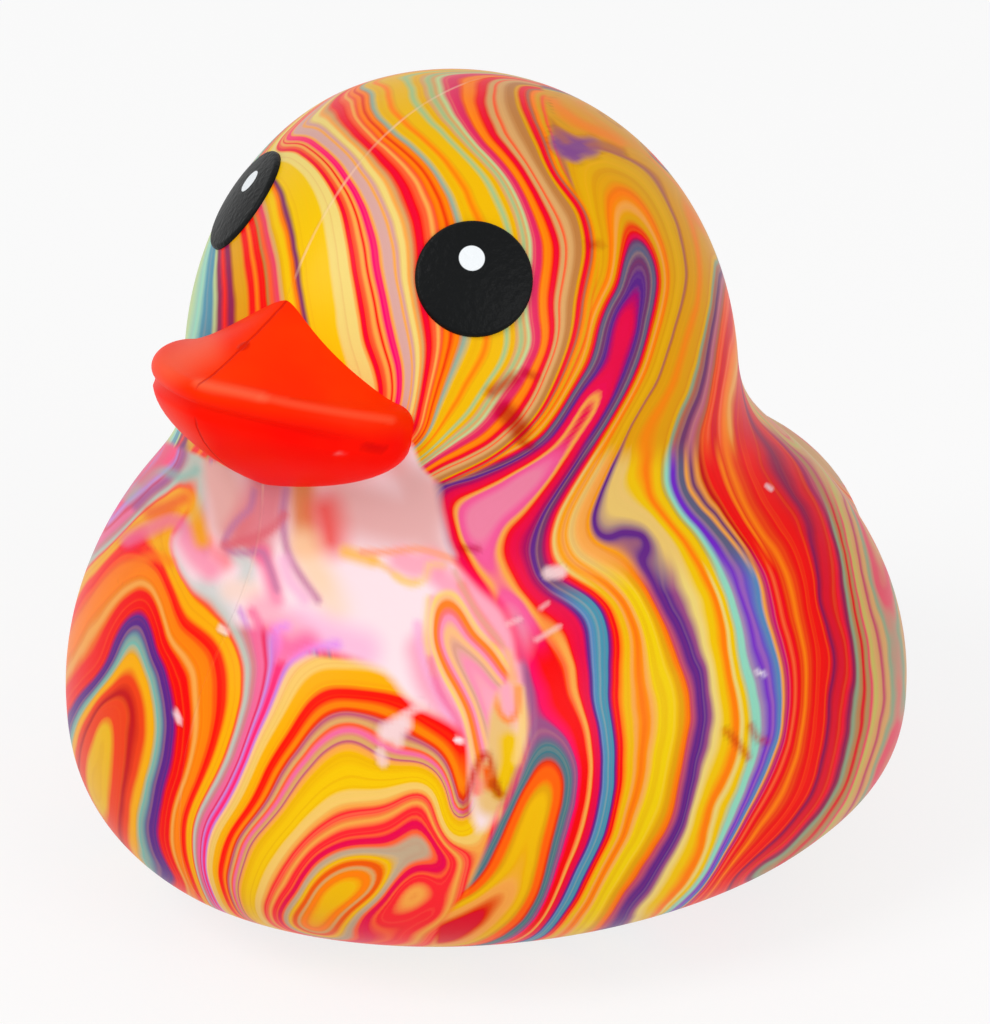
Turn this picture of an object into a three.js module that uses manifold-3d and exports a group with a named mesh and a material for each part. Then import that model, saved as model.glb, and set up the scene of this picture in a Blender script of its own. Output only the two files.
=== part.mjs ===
// Bath duck: one closed moulding with a round head, a wide body, a short tail hump, a broad bill
// and two raised eye discs. Millimetres. The duck looks along -Y, its left side is +X, up is +Z,
// and it stands on Z = 0 with the origin under the middle of its length and width.
import * as THREE from 'three';
import { mergeVertices } from 'three/addons/utils/BufferGeometryUtils.js';
import Module from 'manifold-3d';

// Head: an egg wider in its lower half. Heights are above the resting plane.
const HEAD_HEIGHT = 52.8;
const HEAD_Y = -5.3;
const HEAD_HALF_WIDTH = 29.4;
const HEAD_FRONT = 31.1;
const HEAD_BACK = 28.2;
const HEAD_TOP = 32.3;
const HEAD_BOTTOM = 40.5;
const HEAD_FRONT_FULLNESS = 1.72;
const HEAD_UPPER_FULLNESS = 2.12;
const HEAD_LOWER_FULLNESS = 2.2;
const HEAD_LEAN = -0.017;

// Body: a low wide egg with a full breast.
const BODY_HEIGHT = 18.5;
const BODY_Y = 0.9;
const BODY_HALF_WIDTH = 44.1;
const BODY_FRONT = 51.0;
const BODY_BACK = 37.2;
const BODY_TOP = 35.7;
const BODY_BOTTOM = 20.1;
const BODY_FRONT_FULLNESS = 1.87;
const BODY_BACK_FULLNESS = 2.42;
const BODY_UPPER_FULLNESS = 2.03;
const BODY_LOWER_FULLNESS = 2.55;
const BODY_LEAN = -0.025;

// Tail: a flattened lump, tipped up towards the back.
const TAIL_HEIGHT = 23.2;
const TAIL_Y = 31.1;
const TAIL_HALF_WIDTH = 23.2;
const TAIL_HALF_LENGTH = 16.5;
const TAIL_HALF_DEPTH = 10.5;
const TAIL_TILT = 24.1;
const TAIL_BLEND = 9.2;

// Neck crease: the blend between head and body at the front and at the back.
const NECK_BLEND_FRONT = 8.0;
const NECK_BLEND_BACK = 7.6;
const NECK_BLEND_SPAN = 25;

// Bill: a broad pointed-arch plan on a plane tipped up at the front.
const BILL_Y = -31;
const BILL_HEIGHT = 59.9;
const BILL_TILT = 16;
const BILL_HALF_WIDTH = 15.0;
const BILL_REACH = 14;
const BILL_ROOT = 9;
const BILL_SHIFT = 2;
const BILL_FULLNESS = 1.6;
const BILL_CROWN = 9.3;
const BILL_RIDGE_POWER = 1.15;
const BILL_FLANK_POWER = 1.6;
const LIP_FRONT = 2.4;
const LIP_SIDE = 3.6;
const LIP_SAG = 1.3;
const MOUTH_GROOVE = 0.9;
const CHIN_BULGE = 5.8;
const CHIN_DROP = 3.3;
const CHIN_INSET = 0.4;

// Eyes: round flat-domed discs standing proud of the head.
const EYE_RADIUS = 5.8;
const EYE_PROUD = 0.5;
const EYE_EDGE = 0.45;
const EYE_ROOT = 1.6;
const EYE_DOME = 29;
const EYE_TURN = 42.4;
const EYE_RISE = 43.1;

// Fineness of the surfaces.
const SKIN_DETAIL = 18;
const BILL_SEGMENTS = 44;
const EYE_SEGMENTS = 36;
const SEEK_STEP = 2.5;
const SEEK_LIMIT = 120;
const HALVINGS = 24;

const wasm = await Module();
wasm.setup();

// Signed distance, near enough, to an egg with its own radius on each side of its centre.
function egg(x, y, z, e) {
  const qy = y - e.y - e.lean * (z - e.z);
  const qz = z - e.z;
  const plan = qy < 0 ? e.frontFullness : e.backFullness;
  const rise = qz < 0 ? e.lowerFullness : e.upperFullness;
  const rx = e.halfWidth;
  const ry = qy < 0 ? e.front : e.back;
  const rz = qz < 0 ? e.bottom : e.top;
  const ux = Math.max(Math.abs(x) / rx, 1e-9);
  const uy = Math.max(Math.abs(qy) / ry, 1e-9);
  const uz = Math.max(Math.abs(qz) / rz, 1e-9);
  const flat = (ux ** plan + uy ** plan) ** (1 / plan);
  const size = (flat ** rise + uz ** rise) ** (1 / rise);
  const spread = flat ** (rise - 1) * size ** (1 - rise);
  const gx = (spread * ux ** (plan - 1) * flat ** (1 - plan)) / rx;
  const gy = (spread * uy ** (plan - 1) * flat ** (1 - plan)) / ry;
  const gz = (uz ** (rise - 1) * size ** (1 - rise)) / rz;
  return (size - 1) / Math.max(Math.hypot(gx, gy, gz), 1e-9);
}

// Signed distance, near enough, to the tipped tail lump.
function tail(x, y, z) {
  const tilt = THREE.MathUtils.degToRad(TAIL_TILT);
  const qy = y - TAIL_Y;
  const qz = z - TAIL_HEIGHT;
  const along = qy * Math.cos(tilt) + qz * Math.sin(tilt);
  const across = -qy * Math.sin(tilt) + qz * Math.cos(tilt);
  const a = x / TAIL_HALF_WIDTH;
  const b = along / TAIL_HALF_LENGTH;
  const c = across / TAIL_HALF_DEPTH;
  const size = Math.hypot(a, b, c);
  const slope = Math.hypot(a / TAIL_HALF_WIDTH, b / TAIL_HALF_LENGTH, c / TAIL_HALF_DEPTH);
  return (size * (size - 1)) / Math.max(slope, 1e-9);
}

// Union of two distances with a fillet about as wide as k.
function blend(a, b, k) {
  const h = THREE.MathUtils.clamp(0.5 + (0.5 * (b - a)) / k, 0, 1);
  return b * (1 - h) + a * h - k * h * (1 - h);
}

const HEAD = {
  y: HEAD_Y, z: HEAD_HEIGHT, halfWidth: HEAD_HALF_WIDTH, front: HEAD_FRONT, back: HEAD_BACK,
  top: HEAD_TOP, bottom: HEAD_BOTTOM, frontFullness: HEAD_FRONT_FULLNESS, backFullness: 2,
  upperFullness: HEAD_UPPER_FULLNESS, lowerFullness: HEAD_LOWER_FULLNESS, lean: HEAD_LEAN,
};
const BODY = {
  y: BODY_Y, z: BODY_HEIGHT, halfWidth: BODY_HALF_WIDTH, front: BODY_FRONT, back: BODY_BACK,
  top: BODY_TOP, bottom: BODY_BOTTOM, frontFullness: BODY_FRONT_FULLNESS,
  backFullness: BODY_BACK_FULLNESS, upperFullness: BODY_UPPER_FULLNESS,
  lowerFullness: BODY_LOWER_FULLNESS, lean: BODY_LEAN,
};

// Signed distance to the whole rounded form, without bill, eyes and flat base.
function form(x, y, z) {
  const trunk = blend(egg(x, y, z, BODY), tail(x, y, z), TAIL_BLEND);
  const back = THREE.MathUtils.clamp((y + NECK_BLEND_SPAN) / (2 * NECK_BLEND_SPAN), 0, 1);
  const k = THREE.MathUtils.lerp(NECK_BLEND_FRONT, NECK_BLEND_BACK, back);
  return blend(trunk, egg(x, y, z, HEAD), k);
}

// Distance along a ray from start at which the form ends.
function reach(start, dir) {
  const at = (t) => form(start.x + dir.x * t, start.y + dir.y * t, start.z + dir.z * t);
  let far = SEEK_STEP;
  while (at(far) < 0 && far < SEEK_LIMIT) far += SEEK_STEP;
  let near = far - SEEK_STEP;
  for (let i = 0; i < HALVINGS; i += 1) {
    const middle = (near + far) / 2;
    if (at(middle) < 0) near = middle;
    else far = middle;
  }
  return (near + far) / 2;
}

// Bare closed geometry: positions only, shared corners welded.
function weld(geometry) {
  geometry.deleteAttribute('normal');
  geometry.deleteAttribute('uv');
  return mergeVertices(geometry, 1e-5);
}

function solid(geometry) {
  const welded = weld(geometry);
  const mesh = new wasm.Mesh({
    numProp: 3,
    vertProperties: new Float32Array(welded.attributes.position.array),
    triVerts: new Uint32Array(welded.index.array),
  });
  return new wasm.Manifold(mesh);
}

// The rounded form as a closed surface seen from a point between head and body.
function skin() {
  const geometry = weld(new THREE.IcosahedronGeometry(1, SKIN_DETAIL));
  const heart = new THREE.Vector3(0, 2, (HEAD_HEIGHT + BODY_HEIGHT) / 2 - 5);
  const place = geometry.attributes.position;
  const dir = new THREE.Vector3();
  for (let i = 0; i < place.count; i += 1) {
    dir.fromBufferAttribute(place, i).normalize();
    const point = dir.clone().multiplyScalar(reach(heart, dir)).add(heart);
    place.setXYZ(i, point.x, point.y, point.z);
  }
  return solid(geometry);
}

// Everything under a height, as a block wider than the duck.
function below(height) {
  const side = 4 * BODY_FRONT;
  const block = new THREE.BoxGeometry(side, side, side);
  block.translate(0, 0, height - side / 2);
  return solid(block);
}

// Plan radius of the bill's lip line at an angle from straight ahead.
function billPlan(angle) {
  const ahead = Math.cos(angle);
  const aside = Math.abs(Math.sin(angle));
  const n = ahead > 0 ? BILL_FULLNESS : 2;
  const length = ahead > 0 ? BILL_REACH : BILL_ROOT;
  const u = (aside / BILL_HALF_WIDTH) ** n + (Math.abs(ahead) / length) ** n;
  return u ** (-1 / n);
}

// Radius and height pairs down the bill from the crown, round the lip and under the chin.
function billSection(angle) {
  const outer = billPlan(angle);
  const ahead = Math.max(Math.cos(angle), 0);
  const lip = THREE.MathUtils.lerp(LIP_SIDE, LIP_FRONT, ahead);
  const round = lip / 2;
  const power = THREE.MathUtils.lerp(BILL_FLANK_POWER, BILL_RIDGE_POWER, ahead * ahead);
  const open = THREE.MathUtils.smoothstep(ahead, 0.05, 0.6);
  const rows = [];
  for (const t of [0.12, 0.25, 0.38, 0.5, 0.62, 0.73, 0.83, 0.91]) {
    const rise = BILL_CROWN * ((1 - t) ** power);
    rows.push([(outer - round) * t, lip + rise]);
  }
  for (const degrees of [72, 40, 12, -16, -44]) {
    const a = THREE.MathUtils.degToRad(degrees);
    const tuck = degrees < 0 ? open : 1;
    rows.push([outer - round + round * (1 - tuck * (1 - Math.cos(a))), round + round * Math.sin(a)]);
  }
  rows.push([outer - MOUTH_GROOVE * open, 0]);
  const chin = outer - CHIN_INSET * open;
  for (const degrees of [14, 27, 40, 53, 66, 78]) {
    const a = THREE.MathUtils.degToRad(degrees);
    const bulge = CHIN_BULGE * Math.sin(a);
    const drop = CHIN_DROP * (1 - Math.cos(a));
    rows.push([chin * Math.cos(a), -bulge - drop]);
  }
  const edge = LIP_SAG * (1 - ahead);
  return rows.map(([radius, height]) => [radius, height - edge * (radius / outer) ** 2]);
}

// Closed surface of the bill, placed on the head.
function bill() {
  const lipMiddle = THREE.MathUtils.lerp(LIP_SIDE, LIP_FRONT, 0.5);
  const points = [0, BILL_SHIFT, lipMiddle + BILL_CROWN];
  const rowCount = billSection(0).length;
  for (let i = 0; i < BILL_SEGMENTS; i += 1) {
    const angle = (2 * Math.PI * i) / BILL_SEGMENTS;
    for (const [radius, height] of billSection(angle)) {
      points.push(radius * Math.sin(angle), BILL_SHIFT + radius * Math.cos(angle), height);
    }
  }
  points.push(0, BILL_SHIFT, -(CHIN_BULGE + CHIN_DROP));
  const last = points.length / 3 - 1;
  const at = (segment, row) => 1 + (segment % BILL_SEGMENTS) * rowCount + row;
  const faces = [];
  for (let i = 0; i < BILL_SEGMENTS; i += 1) {
    faces.push(0, at(i + 1, 0), at(i, 0));
    for (let j = 0; j < rowCount - 1; j += 1) {
      faces.push(at(i, j), at(i + 1, j), at(i + 1, j + 1));
      faces.push(at(i, j), at(i + 1, j + 1), at(i, j + 1));
    }
    faces.push(last, at(i, rowCount - 1), at(i + 1, rowCount - 1));
  }
  const geometry = new THREE.BufferGeometry();
  geometry.setAttribute('position', new THREE.Float32BufferAttribute(points, 3));
  geometry.setIndex(faces);
  // Bill axes: x aside, y ahead, z up from the mouth plane.
  const tilt = THREE.MathUtils.degToRad(BILL_TILT);
  const aside = new THREE.Vector3(-1, 0, 0);
  const ahead = new THREE.Vector3(0, -Math.cos(tilt), Math.sin(tilt));
  const up = new THREE.Vector3(0, Math.sin(tilt), Math.cos(tilt));
  const place = new THREE.Matrix4().makeBasis(aside, ahead, up);
  place.setPosition(0, BILL_Y, BILL_HEIGHT);
  geometry.applyMatrix4(place);
  return solid(geometry);
}

// One eye disc; side is 1 for the duck's left and -1 for its right.
function eye(side) {
  const crown = EYE_DOME - Math.sqrt(EYE_DOME ** 2 - EYE_RADIUS ** 2);
  const top = (r) => EYE_PROUD + crown - (EYE_DOME - Math.sqrt(EYE_DOME ** 2 - r ** 2));
  const profile = [new THREE.Vector2(0, -EYE_ROOT), new THREE.Vector2(EYE_RADIUS, -EYE_ROOT)];
  const shoulder = EYE_RADIUS - EYE_EDGE;
  for (const degrees of [0, 22, 45, 68]) {
    const a = THREE.MathUtils.degToRad(degrees);
    const height = top(shoulder) - EYE_EDGE + EYE_EDGE * Math.sin(a);
    profile.push(new THREE.Vector2(shoulder + EYE_EDGE * Math.cos(a), height));
  }
  for (const share of [0.95, 0.66, 0.33]) {
    profile.push(new THREE.Vector2(shoulder * share, top(shoulder * share)));
  }
  profile.push(new THREE.Vector2(0, top(0)));
  const turn = THREE.MathUtils.degToRad(EYE_TURN);
  const rise = THREE.MathUtils.degToRad(EYE_RISE);
  const dir = new THREE.Vector3(
    side * Math.sin(turn) * Math.cos(rise), -Math.cos(turn) * Math.cos(rise), Math.sin(rise),
  );
  const middle = new THREE.Vector3(0, HEAD_Y, HEAD_HEIGHT);
  const spot = dir.clone().multiplyScalar(reach(middle, dir)).add(middle);
  const step = 0.2;
  const normal = new THREE.Vector3(
    form(spot.x + step, spot.y, spot.z) - form(spot.x - step, spot.y, spot.z),
    form(spot.x, spot.y + step, spot.z) - form(spot.x, spot.y - step, spot.z),
    form(spot.x, spot.y, spot.z + step) - form(spot.x, spot.y, spot.z - step),
  ).normalize();
  // The disc's edge sits lower than its middle, where the head curves away under it.
  const disc = new THREE.LatheGeometry(profile, EYE_SEGMENTS);
  disc.translate(0, -crown, 0);
  const stand = new THREE.Quaternion().setFromUnitVectors(new THREE.Vector3(0, 1, 0), normal);
  disc.applyQuaternion(stand);
  disc.translate(spot.x, spot.y, spot.z);
  return solid(disc);
}

const whole = skin().add(bill()).add(eye(1)).add(eye(-1)).subtract(below(0));

// Back to a plain geometry, moved so the origin is under the middle of the duck.
const result = whole.getMesh();
const geometry = new THREE.BufferGeometry();
const corners = new Float32Array(result.vertProperties);
geometry.setAttribute('position', new THREE.BufferAttribute(corners, 3));
geometry.setIndex(new THREE.BufferAttribute(new Uint32Array(result.triVerts), 1));
geometry.computeBoundingBox();
const box = geometry.boundingBox;
geometry.translate(0, -(box.min.y + box.max.y) / 2, 0);
geometry.computeVertexNormals();

const material = new THREE.MeshStandardMaterial({ color: 0xee8a2c, roughness: 0.4, metalness: 0 });
const duck = new THREE.Mesh(geometry, material);
duck.name = 'duck';

const part = new THREE.Group();
part.add(duck);
export default part;
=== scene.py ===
"""Bath duck with a marbled print: the visual model, in metres, standing in the CAD's frame."""

import math

import bpy
import numpy as np
from mathutils import Matrix


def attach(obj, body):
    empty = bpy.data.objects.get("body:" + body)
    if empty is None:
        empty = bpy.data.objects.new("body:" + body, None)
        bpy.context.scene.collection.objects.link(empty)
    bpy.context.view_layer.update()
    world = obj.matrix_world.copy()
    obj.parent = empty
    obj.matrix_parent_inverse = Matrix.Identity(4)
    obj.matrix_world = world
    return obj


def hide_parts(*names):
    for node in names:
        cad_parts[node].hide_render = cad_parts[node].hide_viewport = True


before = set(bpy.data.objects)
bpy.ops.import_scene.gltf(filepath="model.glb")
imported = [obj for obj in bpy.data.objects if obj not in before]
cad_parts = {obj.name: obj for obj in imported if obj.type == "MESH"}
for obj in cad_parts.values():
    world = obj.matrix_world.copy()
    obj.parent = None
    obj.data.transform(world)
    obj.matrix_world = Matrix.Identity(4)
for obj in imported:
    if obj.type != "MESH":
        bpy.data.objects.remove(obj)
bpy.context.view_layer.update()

# Shape, in millimetres, before the move that centres the duck on the origin.
CENTRING = 1.6585  # how far the finished duck moves along +Y
HEART = np.array([0.0, 2.0, 30.65])  # a point inside from which the whole skin is seen

HEAD = dict(y=-5.3, z=52.8, half_width=29.4, front=31.1, back=28.2, top=32.3, bottom=40.5,
            front_full=1.72, back_full=2.0, upper_full=2.12, lower_full=2.2, lean=-0.017)
BODY = dict(y=0.9, z=18.5, half_width=44.1, front=51.0, back=37.2, top=35.7, bottom=20.1,
            front_full=1.87, back_full=2.42, upper_full=2.03, lower_full=2.55, lean=-0.025)
TAIL = dict(y=31.1, z=23.2, half_width=23.2, half_length=16.5, half_depth=10.5, tilt=24.1)
TAIL_BLEND = 9.2
NECK_BLEND_FRONT = 8.0
NECK_BLEND_BACK = 7.6
NECK_BLEND_SPAN = 25.0
STRIDE, STRIDES, HALVINGS = 2.5, 46, 24  # steps of a ray that leaves the form
SLOPE_STEP = 0.05


def egg(p, e):
    """Signed distance, near enough, to an egg with its own radius on each side of its centre."""
    qy = p[..., 1] - e["y"] - e["lean"] * (p[..., 2] - e["z"])
    qz = p[..., 2] - e["z"]
    plan = np.where(qy < 0, e["front_full"], e["back_full"])
    rise = np.where(qz < 0, e["lower_full"], e["upper_full"])
    rx = e["half_width"]
    ry = np.where(qy < 0, e["front"], e["back"])
    rz = np.where(qz < 0, e["bottom"], e["top"])
    ux = np.maximum(np.abs(p[..., 0]) / rx, 1e-9)
    uy = np.maximum(np.abs(qy) / ry, 1e-9)
    uz = np.maximum(np.abs(qz) / rz, 1e-9)
    flat = (ux ** plan + uy ** plan) ** (1 / plan)
    size = (flat ** rise + uz ** rise) ** (1 / rise)
    spread = flat ** (rise - 1) * size ** (1 - rise)
    gx = spread * ux ** (plan - 1) * flat ** (1 - plan) / rx
    gy = spread * uy ** (plan - 1) * flat ** (1 - plan) / ry
    gz = uz ** (rise - 1) * size ** (1 - rise) / rz
    return (size - 1) / np.maximum(np.sqrt(gx * gx + gy * gy + gz * gz), 1e-9)


def tail(p):
    """Signed distance, near enough, to the tipped tail lump."""
    tilt = math.radians(TAIL["tilt"])
    qy = p[..., 1] - TAIL["y"]
    qz = p[..., 2] - TAIL["z"]
    r = (TAIL["half_width"], TAIL["half_length"], TAIL["half_depth"])
    a = p[..., 0] / r[0]
    b = (qy * math.cos(tilt) + qz * math.sin(tilt)) / r[1]
    c = (qz * math.cos(tilt) - qy * math.sin(tilt)) / r[2]
    size = np.sqrt(a * a + b * b + c * c)
    slope = np.sqrt((a / r[0]) ** 2 + (b / r[1]) ** 2 + (c / r[2]) ** 2)
    return size * (size - 1) / np.maximum(slope, 1e-9)


def blend(a, b, k):
    """The smaller of two distances, rounded over a width k where they meet."""
    h = np.clip(0.5 + 0.5 * (b - a) / k, 0, 1)
    return b * (1 - h) + a * h - k * h * (1 - h)


def ramp(a, b, t):
    return a + (b - a) * t


def ease(t, a, b):
    """0 at a and 1 at b, with soft ends."""
    t = np.clip((t - a) / (b - a), 0, 1)
    return t * t * (3 - 2 * t)


def form(p):
    """Signed distance to the rounded form, without bill, eyes and flat base."""
    trunk = blend(egg(p, BODY), tail(p), TAIL_BLEND)
    back = np.clip((p[..., 1] + NECK_BLEND_SPAN) / (2 * NECK_BLEND_SPAN), 0, 1)
    k = NECK_BLEND_FRONT + (NECK_BLEND_BACK - NECK_BLEND_FRONT) * back
    return blend(trunk, egg(p, HEAD), k)


def normals(p):
    """Outward unit normals of the form at points on it."""
    g = np.stack([form(p + s) - form(p - s) for s in np.eye(3) * SLOPE_STEP], -1)
    return g / np.maximum(np.linalg.norm(g, axis=-1, keepdims=True), 1e-9)


def leave(start, aim):
    """Where rays from a point inside leave the form."""
    near = np.zeros(len(aim))
    far = np.full(len(aim), STRIDE)
    for _ in range(STRIDES):
        inside = form(start + aim * far[:, None]) < 0
        near = np.where(inside, far, near)
        far = np.where(inside, far + STRIDE, far)
    for _ in range(HALVINGS):
        middle = (near + far) / 2
        inside = form(start + aim * middle[:, None]) < 0
        near = np.where(inside, middle, near)
        far = np.where(inside, far, middle)
    return start + aim * ((near + far) / 2)[:, None]


# The photographed view: azimuth and elevation of the eye, its distance and its picture plane.
VIEW_TURN = math.radians(38.459)
VIEW_RISE = math.radians(26.504)
VIEW_REACH = 500.0
VIEW_FOCUS = 4670.0  # pixels of a picture 990 wide and 1024 high
VIEW_MIDDLE = (491.01, 577.60)
VIEW_AIM = np.array([0.0, 0.0, 27.676])
VIEW_BACK = np.array([math.sin(VIEW_TURN) * math.cos(VIEW_RISE),
                      -math.cos(VIEW_TURN) * math.cos(VIEW_RISE), math.sin(VIEW_RISE)])
VIEW_RIGHT = np.array([math.cos(VIEW_TURN), math.sin(VIEW_TURN), 0.0])
VIEW_UP = np.cross(VIEW_BACK, VIEW_RIGHT)
VIEW_EYE = VIEW_AIM + VIEW_REACH * VIEW_BACK
SIGHT_START = VIEW_REACH - 75.0
SIGHT_STEPS, SIGHT_CAUTION, SIGHT_LEAST, SIGHT_MOST, SIGHT_HIT = 160, 0.7, 0.002, 4.0, 0.004


def on_skin(spots):
    """Points of the form seen at places of the picture; one just off the outline is drawn in to it."""
    spots = np.asarray(spots, float).reshape(-1, 2)
    aim = (-VIEW_BACK + VIEW_RIGHT * (spots[:, :1] - VIEW_MIDDLE[0]) / VIEW_FOCUS
           - VIEW_UP * (spots[:, 1:] - VIEW_MIDDLE[1]) / VIEW_FOCUS)
    aim /= np.linalg.norm(aim, axis=1, keepdims=True)
    t = np.full(len(aim), SIGHT_START)
    best = t.copy()
    least = np.full(len(aim), 1e9)
    done = np.zeros(len(aim), bool)
    for _ in range(SIGHT_STEPS):
        d = form(VIEW_EYE + aim * t[:, None])
        better = ~done & (d < least)
        least = np.where(better, d, least)
        best = np.where(better, t, best)
        done |= d < SIGHT_HIT
        t = np.where(done, t, t + np.clip(d * SIGHT_CAUTION, SIGHT_LEAST, SIGHT_MOST))
    at = VIEW_EYE + aim * best[:, None]
    return at - normals(at) * form(at)[:, None]


# Print: smooth layer fields through the given contour lines.
CURVE_SPACING = 16.0  # pixels between the points of a contour line
FIELD_GIVE = 0.02
FIELD_SCALE = 10.0
PLANE_SCALE = 50
FIELD_BATCH = 4096


def smooth_line(spots, spacing=CURVE_SPACING):
    """Points along a smooth curve through the given spots of the picture."""
    spots = np.asarray(spots, float)
    if len(spots) < 3:
        return spots
    padded = np.vstack([2 * spots[0] - spots[1], spots, 2 * spots[-1] - spots[-2]])
    out = []
    for i in range(1, len(padded) - 2):
        a, b, c, d = padded[i - 1:i + 3]
        n = max(int(math.ceil(np.linalg.norm(c - b) / spacing)), 1)
        t = (np.arange(n) / n)[:, None]
        out.append(0.5 * (2 * b + (c - a) * t + (2 * a - 5 * b + 4 * c - d) * t ** 2
                          + (3 * b - a - 3 * c + d) * t ** 3))
    return np.vstack(out + [spots[-1:]])


def contour_points(lines):
    """Places on the skin and the layer value of each."""
    spots = []
    values = []
    for value, line in lines:
        curve = smooth_line(line)
        spots.append(curve)
        values.append(np.full(len(curve), float(value)))
    return on_skin(np.vstack(spots)), np.concatenate(values)


def fit_field(at, values):
    """Weights of the smooth field that takes the values at the points."""
    n = len(at)
    gap = np.linalg.norm(at[:, None] - at[None], axis=-1)
    plane = np.hstack([np.ones((n, 1)), at / PLANE_SCALE])
    m = np.zeros((n + 4, n + 4))
    m[:n, :n] = (gap / FIELD_SCALE) ** 3 + np.eye(n) * FIELD_GIVE
    m[:n, n:] = plane
    m[n:, :n] = plane.T
    right = np.concatenate([values, np.zeros(4)])
    return at, np.linalg.solve(m, right)


def read_field(fitted, points):
    """Values of a fitted field at points."""
    at, weights = fitted
    out = np.empty(len(points))
    for k in range(0, len(points), FIELD_BATCH):
        part = points[k:k + FIELD_BATCH]
        gap = np.linalg.norm(part[:, None] - at[None], axis=-1) / FIELD_SCALE
        plane = weights[-4] + part / PLANE_SCALE @ weights[-3:]
        out[k:k + FIELD_BATCH] = gap ** 3 @ weights[:-4] + plane
    return out


def places(text):
    """Places x,y of the picture, in pixels; x alone keeps to the step in y before it."""
    out = []
    step = 0.0
    for place in text.split():
        x, _, y = place.partition(",")
        y = float(y) if y else out[-1][1] + step
        step = y - out[-1][1] if out else step
        out.append((float(x), y))
    return out


def contours(text):
    """Rows of a layer value and the places of the picture that its line runs through."""
    rows = (row.split(":") for row in text.split(";"))
    return [(float(value), places(line)) for value, line in rows]


def ink_bands(text):
    """Rows of a layer value and the ink that reaches up to it."""
    return [(float(edge), ink) for edge, ink in (band.split() for band in text.split(","))]


def brushwork(text):
    """Rows of a stroke's ink, width, softness, strength and the places that it runs through."""
    rows = []
    for row in text.split(";"):
        brush, line = row.split(":")
        ink, *sizes = brush.split()
        rows.append((ink, *map(float, sizes), places(line)))
    return rows


# Contour lines of the layers over body, neck and head.
A_LINES = contours("""
-40: 497,893 485,905 470,920 455,936;
-26: 542,800 534,820 526,850 516 500,908 485,930;
-14: 478,892 497,865 508,840 517,820 526 535,783 545,773 554,781 554,800 550,820 546 541 538 531 515,922;
0: 470,885 485,860 498 508,815 518 527,777 533,761 540,750 548,746 558,752 566,765 567,782 565,800
    560,820 554 549 545 539 526;
10: 507,612 516,635 522,660 528,690 532,712 540,726 549,730 560,739 570,755 576,775 574 568 561,840
    555,860 550 543 532;
10: 530,748 523,765 516,783 506,803 497,822 488,842;
17: 500,590 520,622 532,655 545,690 560,715 578,745 583,770 582,800 574 563 553,888;
25: 548,905 560,880 572,860 579 584 590 592 592 590 585 578 573 568 560 545 530,605 518 500,560 498,545
    505 520 540,490 555,470 572,440 590,412 602 594,388 583,404 571,424;
12: 588,404 574,424 558,448 538,468 512,490 485,507 470,530;
12: 478,545 485,570;
31: 632,312 625,335 618,355 610,370;
37: 636,285;
46: 552,922 567,905 577,880 587,860 597 607,800 608,770 607 604,720 601 601 601 599 596 584,601 566,590
    548,580 540,566 540,545 543,530 549,510 562 575,465 592 605,420 620,395 635,362 645,325 652,290
    650,265 642,249 634,248 627,258 621,280 608,310 603,330 598,355 588,375 573,400 560,420 545 530,450
    510,462;
38: 490,475 470,484;
32: 445,492 447,505 449,520 455,545 475,580 492,602;
56: 622,262 627,245 632,234 640,232 648,240 656,262 659,285 653,322 643,365 628,395 613,421 600,442
    584,467 570 557,512 550,530 548,545 551,562;
56: 585,590 600,600 609,620 614 615 613 613 614 617 619 619 616 607,840 597,860 587 577;
72: 585,900 597,880 608 618 625 631 637 638 643,720 640,700 636 635 635 628,615 612,592 590,575 570,562
    561,548 560,530 566,510 580,485 595,462 608,440 621 637,388 650,355 660,325 667 669,275;
72: 612,285 612,270 611,240 610 612,197 622,192 632,195 642,207 652,225 660 666,260;
97: 642,540 620,535;
104: 602,938 616,920 632,900 645 658 671 679 685 688 690 695 699 700 696 689 681 669 661 643,562 625,547
    606,540 597,530 596,515 600 607,480 618,455 627,432 636,415 645,400 658,380 664 672,335 679 686
    687,268 684,250 678,225 668 655,180 640,165 620,153 600,147 585,143 570,138 556,128 545,112;
122: 650,920 665,900 680 692 700 705 710 722 732,750 735 733,700 729 726 723 719 716 700,570 690,550 675
    660,515 650,495 648,470 652,440 662,415 672 684,360 692 699 701 697 690,215 680 665,170 640,148
    615,136 598,130 578,122 563,112 553,100;
133: 708,222 696,192 678,165 655,141 630,121 600,108 575,99 556,92;
142: 665,920 685,900 706 717 725 736 744 753 765,740 766,710 762 755,660 750 745 731,580 712 693,520 679
    674 675,440 680,420 691 700,365 710,320 717,280 716,250 708,215;
156: 725,270 720,320 714,360 708 700,420 697 696 699 710,497 720,513 734,530 750,550 763,575 769 773,620
    778 783 787 787 786 783 776 768 757 747 737 725 710,882;
178: 727,350 720,400 717,420 718 722 728 736 746 758 770 778 784 788 795 799 800 799 797 793 788 780 768
    755 742,838 728,857 715;
196: 738,370 733,400 733,420 735 740 748 756 768 780 793 800 803 806 809 813 813 812 811 808 804 799 789
    776 760 742 722;
216: 760,440 764,460 774,478 790,498 802,520 810,545 814 816,590 818,607 823,622 829,640 832,660 831 828
    826 824 820 815 806 792 775,838 756,855 735,875;
232: 762,424 778,438 797,460 812,485 825,512 834,540 840,565 843 847 851 853,660 853 850 848 846 841 835
    825 810 795,838 778,855;
244: 770,420 790,436 810,460 825,485 838,515 845 850 856 865,640 867,660 867 868 866 862 857 850 842
    830,818;
262: 790,425 815,448 838,478 852,510 863,545 870,575 878 890,640 893,660 894 893 890 885 878,755""")
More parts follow.
